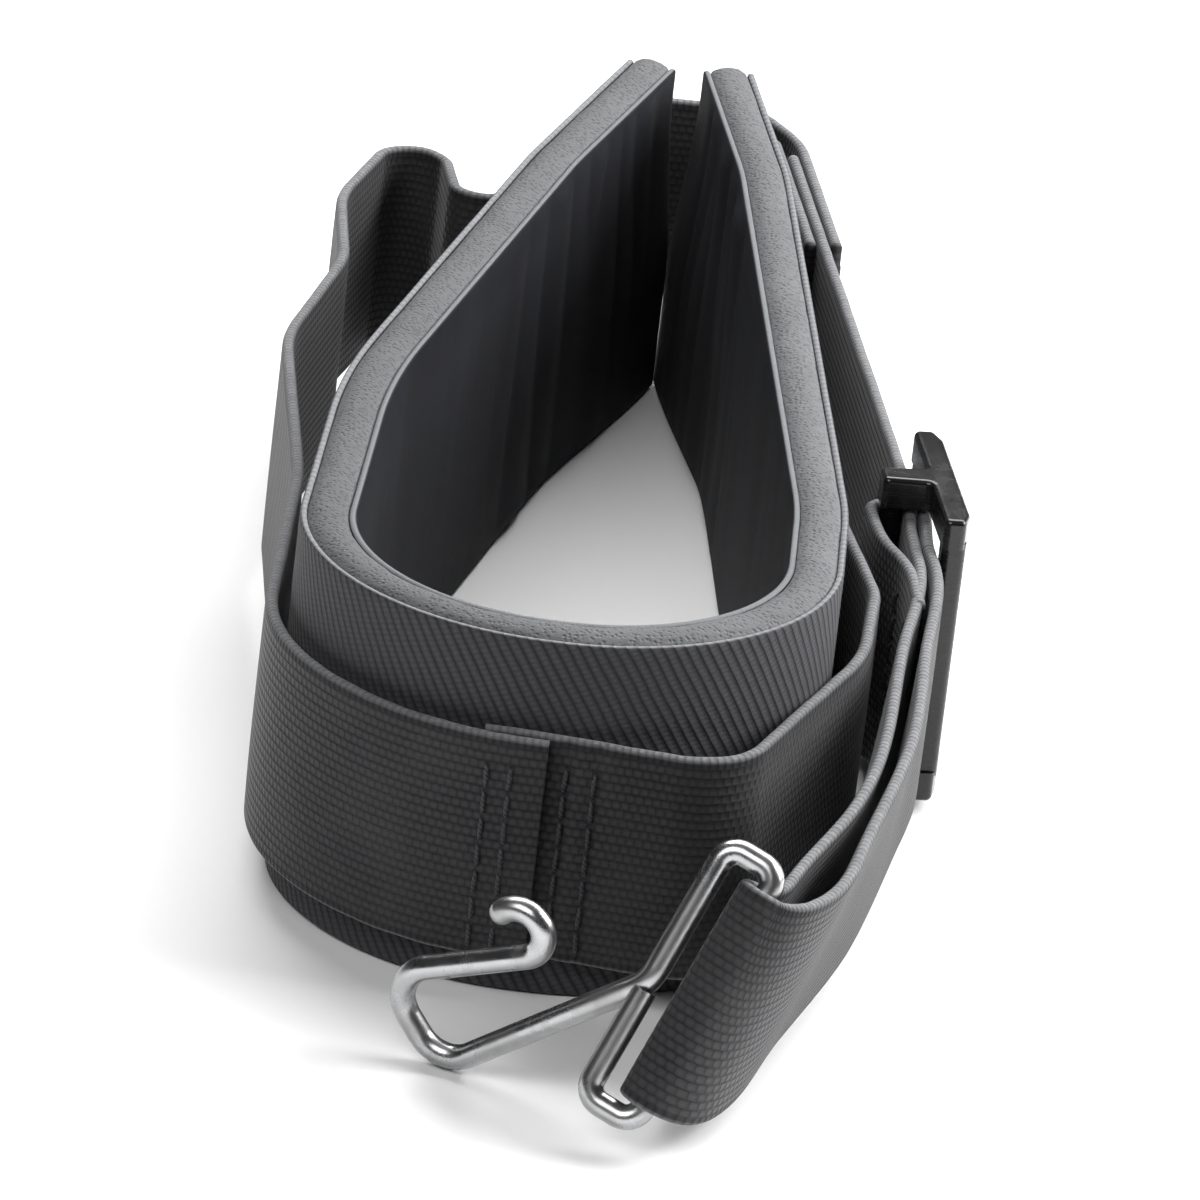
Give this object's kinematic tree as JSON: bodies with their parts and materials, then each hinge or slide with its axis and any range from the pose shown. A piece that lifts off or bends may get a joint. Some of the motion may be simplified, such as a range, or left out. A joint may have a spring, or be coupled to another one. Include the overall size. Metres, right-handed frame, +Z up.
{
  "type": "saxophone neck strap",
  "caption": "Padded neck strap for a wind instrument: a curled foam pad with sewn webbing legs, a slider and an open wire hook, stored standing on the pad's long edge.",
  "frame": {"origin": "middle of the whole strap's plan outline, on the surface the pad's lower edge stands on", "axes": "+Z up, the way the curled pad stands; +Y from the pad's closed front towards its pinched ends; +X towards the slider and the hook's webbing"},
  "size_m": [0.0768, 0.2228, 0.04],
  "materials": {
    "foam": "closed-cell foam, cut edge",
    "pad_facing": "diagonal twill",
    "pad_lining": "smooth knit",
    "webbing": "ribbed woven tape",
    "thread": "sewing thread",
    "slider": "glossy moulded",
    "hook": "bright nickel plate on bent wire"
  },
  "bodies": {
    "strap": {"pad_foam_core": "foam", "pad_outer_facing": "pad_facing", "pad_inner_lining": "pad_lining", "left_leg_webbing": "webbing", "right_leg_webbing": "webbing", "drop_webbing": "webbing", "centre_seam_row_1": "thread", "centre_seam_row_2": "thread", "centre_seam_row_3": "thread", "centre_seam_row_4": "thread", "joint_outer_stitching": "thread", "joint_inner_stitching": "thread"},
    "slider": {"slider": "slider", "hem_front_row": "thread", "hem_rear_row": "thread"},
    "hook": {"wire_hook": "hook"}
  },
  "joints": [
    {"name": "slider_slide", "type": "slide", "parent": "strap", "child": "slider", "axis": [0.1724, -0.985, 0], "range_m": [-0.018, 0.012], "deforming": ["drop_webbing"]},
    {"name": "hook_swing", "type": "hinge", "parent": "strap", "child": "hook", "pos_m": [0.01653, -0.10493, 0.01622], "axis": [0.3926, 0.2908, 0.8725], "range_deg": [0, 85]}
  ]
}
